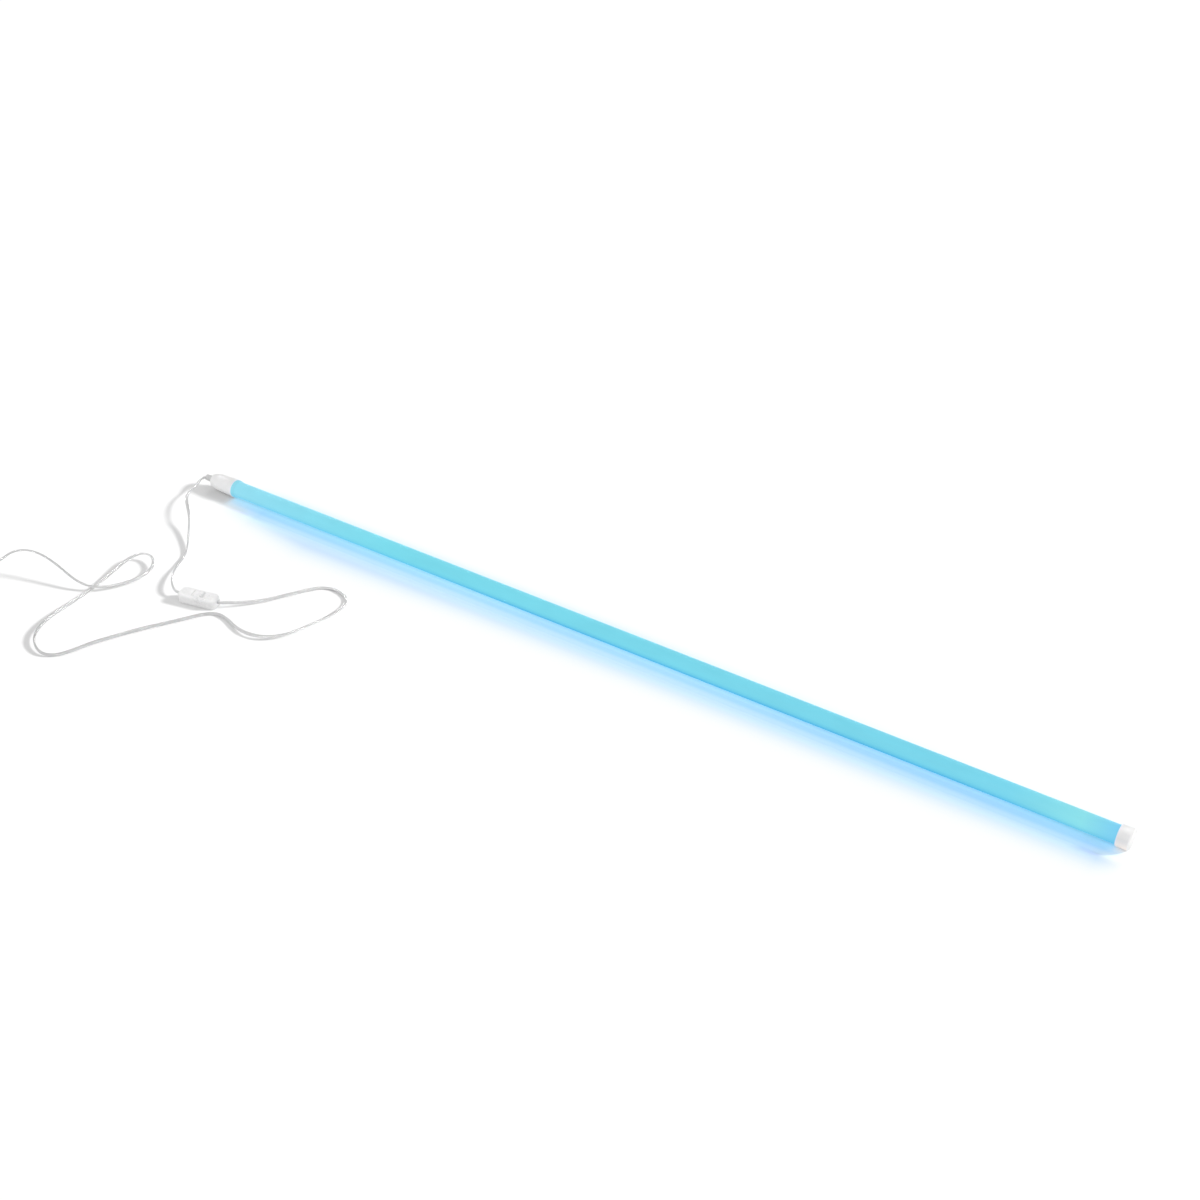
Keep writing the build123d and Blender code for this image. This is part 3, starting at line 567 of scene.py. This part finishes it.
dressing = {
    lit_tube: ["diffuser_tube"],
    lit_collar: ["tube_collar"],
    white_cap: ["end_cap", "power_cap"],
    grip_plastic: ["cord_grip", "grip_locknut"],
    switch_plastic: ["switch_base", "switch_cover"],
    rocker_plastic: ["switch_rocker"],
    tie_plastic: ["coil_tie"],
    plug_plastic: ["plug_body"],
    sleeve_plastic: ["pin_sleeves"],
    core_plastic: ["supply_cores", "led_wires", "switch_cores"],
    board_green: ["driver_board"],
    board_white: ["led_board"],
    package_yellow: ["leds"],
    part_black: ["driver_capacitor", "driver_rectifier"],
    part_grey: ["driver_choke"],
    nickel: ["plug_pins"],
    brass: ["contact_leaf", "switch_terminals"],
    steel: ["terminal_screws", "case_screws"],
    aluminium: ["led_rail"],
}
for material, names in dressing.items():
    for name in names:
        dress(name, material)


# Flat twin lead

def rest_drop(roll):
    """How much lower than on edge the lead's middle lies at this roll."""
    return (LEAD_WIDTH - LEAD_THICKNESS) / 2 * (1 - abs(math.sin(math.radians(roll))))


def coil_route():
    """Turns of the coil: outside low, inside low, inside high, outside high."""
    def eased(angle, span):
        share = min(1.0, max(0.0, (angle - span[0]) / (span[1] - span[0])))
        return share * share * (3 - 2 * share)

    route = []
    count = round(COIL_TURN / COIL_STEP)
    for step in range(count + 1):
        turned = COIL_TURN * step / count
        inward = eased(turned, COIL_INWARD) - eased(turned, COIL_OUTWARD)
        radius = COIL_OUTER + (COIL_INNER - COIL_OUTER) * inward
        height = COIL_LOW + (COIL_HIGH - COIL_LOW) * eased(turned, COIL_CLIMB)
        angle = math.radians(COIL_START + turned)
        x = COIL_CENTRE[0] + radius * math.cos(angle)
        y = COIL_CENTRE[1] + radius * math.sin(angle)
        route.append((x, y, height, 90))
    return route


def smooth_line(name, route):
    """Points along the NURBS spline that has the route's points as its control points."""
    curve = bpy.data.curves.new(name, "CURVE")
    curve.dimensions = "3D"
    curve.resolution_u = STEPS_PER_POINT
    spline = curve.splines.new("NURBS")
    spline.points.add(len(route) - 1)
    for point, (x, y, z, roll) in zip(spline.points, route):
        point.co = (x, y, z - rest_drop(roll), 1.0)
    spline.order_u = 3
    spline.use_endpoint_u = True
    holder = bpy.data.objects.new(name, curve)
    mesh = bpy.data.meshes.new_from_object(holder)
    line = [vertex.co.copy() for vertex in mesh.vertices]
    bpy.data.objects.remove(holder)
    bpy.data.meshes.remove(mesh)
    return line


def lead_section():
    """Outline of the lead as (across, through, place round its lobe): two lobes with a groove each side."""
    radius = LEAD_THICKNESS / 2
    centre = LEAD_WIDTH / 2 - radius
    outline = []
    for side in (1, -1):
        for step in range(LOBE_POINTS):
            turn = LOBE_REACH * (2 * step / (LOBE_POINTS - 1) - 1)
            angle = math.radians(turn)
            across = side * (centre + radius * math.cos(angle))
            outline.append((across, side * radius * math.sin(angle), turn / 360))
        outline.append((0.0, side * GROOVE_HALF, 0.5))
    return outline


def build_lead(name, route):
    """Mesh of the flat lead along a route; gives the object and its middle line."""
    line = smooth_line(name + "_line", route)
    section = lead_section()
    verts = []
    lay = []
    length = 0.0
    last = len(line) - 1
    for number, middle in enumerate(line):
        tangent = (line[min(number + 1, last)] - line[max(number - 1, 0)]).normalized()
        level = Vector((0, 0, 1)).cross(tangent).normalized()
        upright = tangent.cross(level)
        place = number / last * (len(route) - 1)
        before = min(int(place), len(route) - 2)
        roll_from, roll_to = route[before][3], route[before + 1][3]
        roll = math.radians(roll_from + (roll_to - roll_from) * (place - before))
        wide = level * math.cos(roll) + upright * math.sin(roll)
        through = tangent.cross(wide)
        if number:
            length += (middle - line[number - 1]).length
        for across, thick, turn in section:
            verts.append(middle + wide * across + through * thick)
            lay.append((length, turn, 0.0))
    ring = len(section)
    faces = []
    for number in range(last):
        for corner in range(ring):
            start = number * ring + corner
            beside = number * ring + (corner + 1) % ring
            faces.append((start, beside, beside + ring, start + ring))
    faces.append(tuple(reversed(range(ring))))
    faces.append(tuple(range(last * ring, (last + 1) * ring)))
    mesh = bpy.data.meshes.new(name)
    mesh.from_pydata(verts, [], faces)
    mesh.shade_smooth()
    attribute = mesh.attributes.new("lay", "FLOAT_VECTOR", "POINT")
    attribute.data.foreach_set("vector", [value for item in lay for value in item])
    mesh.materials.append(lead_plastic)
    lead = bpy.data.objects.new(name, mesh)
    scene.collection.objects.link(lead)
    return lead, line


lamp_lead, lamp_line = build_lead("lamp_lead", LAMP_LEAD_ROUTE)
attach(lamp_lead, "lamp")
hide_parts("lamp_cord")

plug_lead, plug_line = build_lead("plug_lead", PLUG_LEAD_ROUTE + coil_route() + PLUG_TAIL_ROUTE)
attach(plug_lead, "lamp")
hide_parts("plug_cord", "cord_coil", "plug_tail")


# Floor, light and camera

def painted_glow_in_front(tree, y, along, near):
    """Painted glow in front of the tube: in its shadow and, further out, beyond the shadow."""
    shadow = ramp(
        tree,
        near,
        [
            (0.25, (0.88, 1.0, 1.0)),
            (0.35, (0.76, 0.95, 1.0)),
            (0.43, (0.69, 0.905, 1.0)),
            (0.58, (0.79, 0.935, 1.0)),
            (0.66, (0.78, 0.93, 1.0)),
            (0.75, (0.70, 0.845, 1.0)),
            (0.85, (0.62, 0.745, 1.0)),
        ],
    )
    ends = grey_ramp(tree, along, [(0.06, 1.0), (0.14, 0.85), (0.32, 0.0), (0.64, 0.0), (0.93, 1.0)])
    deeper = times(tree, ends, spread(tree, near, 1.0, 0.5))
    shadow = mix_colour(tree, deeper, shadow, SHADOW_END_TINT, "MULTIPLY")
    widening = grey_ramp(tree, along, [(0.0, 0.62), (0.05, 0.68), (0.14, 1.0), (0.36, 0.85), (0.57, 0.8)])
    away = math_node(tree, "DIVIDE", y, times(tree, widening, -GLOW_REACH))
    beyond = ramp(
        tree,
        away,
        [
            (0.3, (0.575, 0.71, 1.0)),
            (0.38, (0.62, 0.76, 1.0)),
            (0.5, (0.80, 0.885, 1.0)),
            (0.6, (0.90, 0.935, 1.0)),
            (0.7, (0.95, 0.955, 1.0)),
            (1.0, grey(1.0)),
        ],
    )
    return mix_colour(tree, spread(tree, y, *PAST_SHADOW), shadow, beyond)


def painted_glow_behind(tree, y, along):
    """Painted glow in a thin line behind the tube, dying away towards the end cap."""
    behind = ramp(
        tree,
        spread(tree, y, *BEHIND_TUBE),
        [(0.2, (0.83, 0.91, 1.0)), (0.4, (0.91, 0.94, 1.0)), (0.6, (0.96, 0.965, 1.0)), (0.85, grey(1.0))],
    )
    dying = grey_ramp(tree, along, [(0.5, 0.0), (0.9, 0.9)])
    return mix_colour(tree, dying, behind, grey(1.0))


def painted_cap_shadow(tree, x, y):
    """Share of the painted deep shadow beside the power cap."""
    lengthwise = times(tree, spread(tree, x, *CAP_SHADOW_FROM), spread(tree, x, *CAP_SHADOW_UNTIL))
    return times(tree, lengthwise, spread(tree, y, *CAP_SHADOW_NEAR), spread(tree, y, *CAP_SHADOW_FAR))


def contact_light(tree, along, near, kept):
    """Painted light in the narrow gap under the tube."""
    contact = grey_ramp(
        tree,
        near,
        [(0.0, 0.0), (0.06, 1.0), (0.12, 1.0), (0.19, 0.65), (0.30, 0.12), (0.36, 0.0)],
    )
    share = grey_ramp(tree, along, [(0.0, 0.15), (0.14, 0.35), (0.4, 0.9), (0.9, 0.85), (1.0, 0.1)])
    contact = mix_colour(tree, times(tree, contact, kept), grey(0.0), share)
    return mix_colour(tree, 1.0, contact, CONTACT_GLOW, "MULTIPLY")


def end_light(tree, x, near):
    """Painted light at the tube's two ends: its share and its colour."""
    colour = ramp(
        tree,
        near,
        [
            (0.08, grey(0.0)),
            (0.2, (0.05, 0.12, 0.20)),
            (0.42, (0.05, 0.12, 0.20)),
            (0.65, (0.11, 0.14, 0.17)),
            (0.78, (0.07, 0.05, 0.03)),
            (0.95, grey(0.0)),
        ],
    )
    power_end = times(tree, spread(tree, x, *POWER_END_FROM), spread(tree, x, *POWER_END_UNTIL))
    far_end = times(tree, spread(tree, x, *FAR_END_FROM), spread(tree, x, *FAR_END_UNTIL))
    return math_node(tree, "ADD", power_end, far_end), colour


def glow_on_floor(tree):
    """Painted tint and light that the tube gives the floor, and a painted deeper shadow beside the power
    cap.
    """
    x, y, _ = split(tree, object_place(tree))
    along = spread(tree, x, *ALONG_FLOOR)
    near = spread(tree, y, *IN_SHADOW)
    is_behind = math_node(tree, "GREATER_THAN", y, 0.0)
    tint = mix_colour(tree, is_behind, painted_glow_in_front(tree, y, along, near), painted_glow_behind(tree, y, along))
    kept = times(tree, spread(tree, x, *GLOW_FROM), spread(tree, x, *GLOW_UNTIL))
    tint = mix_colour(tree, kept, grey(1.0), tint)
    tint = mix_colour(tree, painted_cap_shadow(tree, x, y), tint, grey(CAP_SHADOW_SHADE), "MULTIPLY")
    at_ends, end_colour = end_light(tree, x, near)
    light = mix_colour(tree, at_ends, contact_light(tree, along, near, kept), end_colour, "ADD")
    return tint, light


def build_floor():
    """Large pale floor that keeps shadows, with the tube's glow and a deeper shadow by the power cap
    painted on it; the camera sees it a little lifted, as white.
    """
    half = FLOOR_SIZE / 2
    corners = [(-half, -half, 0), (half, -half, 0), (half, half, 0), (-half, half, 0)]
    mesh = bpy.data.meshes.new("floor")
    mesh.from_pydata(corners, [], [(0, 1, 2, 3)])
    floor = bpy.data.objects.new("floor", mesh)
    scene.collection.objects.link(floor)
    material, tree, shader = new_material("floor_white")
    tint, light = glow_on_floor(tree)
    colour = mix_colour(tree, 1.0, tint, grey(FLOOR_WHITE), "MULTIPLY")
    tree.links.new(colour, shader.inputs["Base Color"])
    shader.inputs["Roughness"].default_value = 0.9
    shader.inputs["Specular IOR Level"].default_value = 0.0
    lift = mix_colour(tree, FLOOR_LIFT, grey(0.0), tint)
    tree.links.new(mix_colour(tree, 1.0, lift, light, "ADD"), shader.inputs["Emission Color"])
    tree.links.new(seen_rays(tree), shader.inputs["Emission Strength"])
    material.cycles.emission_sampling = "NONE"
    mesh.materials.append(material)
    return floor


def shine_on(lamp, receivers):
    """Let a lamp light its receivers only."""
    lit = bpy.data.collections.new(lamp.name + "_receivers")
    for receiver in receivers:
        lit.objects.link(receiver)
    lamp.light_linking.receiver_collection = lit


def build_sun(name, direction, strength, softness):
    """Soft far light from a direction."""
    light = bpy.data.lights.new(name, "SUN")
    light.energy = strength
    light.angle = math.radians(softness)
    sun = bpy.data.objects.new(name, light)
    sun.rotation_euler = Vector(direction).to_track_quat("Z", "Y").to_euler()
    scene.collection.objects.link(sun)
    return sun


def build_glow():
    """Blue light of the tube on the floor in front of it."""
    light = bpy.data.lights.new("glow", "AREA")
    light.shape = "RECTANGLE"
    light.size, light.size_y = GLOW_SIZE
    light.color = GLOW_COLOUR
    light.energy = GLOW_POWER
    glow = bpy.data.objects.new("glow", light)
    glow.location = GLOW_PLACE
    glow.rotation_euler = (math.radians(GLOW_LEAN), 0.0, 0.0)
    glow.visible_camera = False
    glow.visible_glossy = False
    scene.collection.objects.link(glow)
    return glow


def build_world():
    """Even pale surround, white where the camera or a reflection sees it."""
    world = bpy.data.worlds.new("surround")
    scene.world = world
    world.use_nodes = True
    tree = world.node_tree
    shade = tree.nodes["Background"]
    shade.inputs["Color"].default_value = (*grey(1.0), 1.0)
    extra = times(tree, seen_rays(tree), 1.0 - AMBIENT)
    tree.links.new(math_node(tree, "ADD", extra, AMBIENT), shade.inputs["Strength"])


def build_camera():
    """Camera that looks down on the lamp from the side of its end cap."""
    data = bpy.data.cameras.new("camera")
    data.lens = CAMERA_LENS
    data.sensor_width = SENSOR_WIDTH
    camera = bpy.data.objects.new("camera", data)
    azimuth = math.radians(CAMERA_AZIMUTH)
    elevation = math.radians(CAMERA_ELEVATION)
    back = Vector(
        (
            math.sin(azimuth) * math.cos(elevation),
            -math.cos(azimuth) * math.cos(elevation),
            math.sin(elevation),
        )
    )
    camera.location = CAMERA_PLACE
    camera.rotation_euler = (-back).to_track_quat("-Z", "Y").to_euler()
    scene.collection.objects.link(camera)
    scene.camera = camera


lamp_pieces = [thing for thing in scene.objects if thing.type == "MESH"]
floor = build_floor()
build_sun("key", KEY_DIRECTION, KEY_STRENGTH, KEY_SOFTNESS)
shine_on(build_sun("key_on_floor", KEY_DIRECTION, KEY_ON_FLOOR, KEY_SOFTNESS), [floor])
shine_on(build_sun("top", TOP_DIRECTION, TOP_STRENGTH, TOP_SOFTNESS), lamp_pieces)
shine_on(build_glow(), [floor])
build_world()
build_camera()
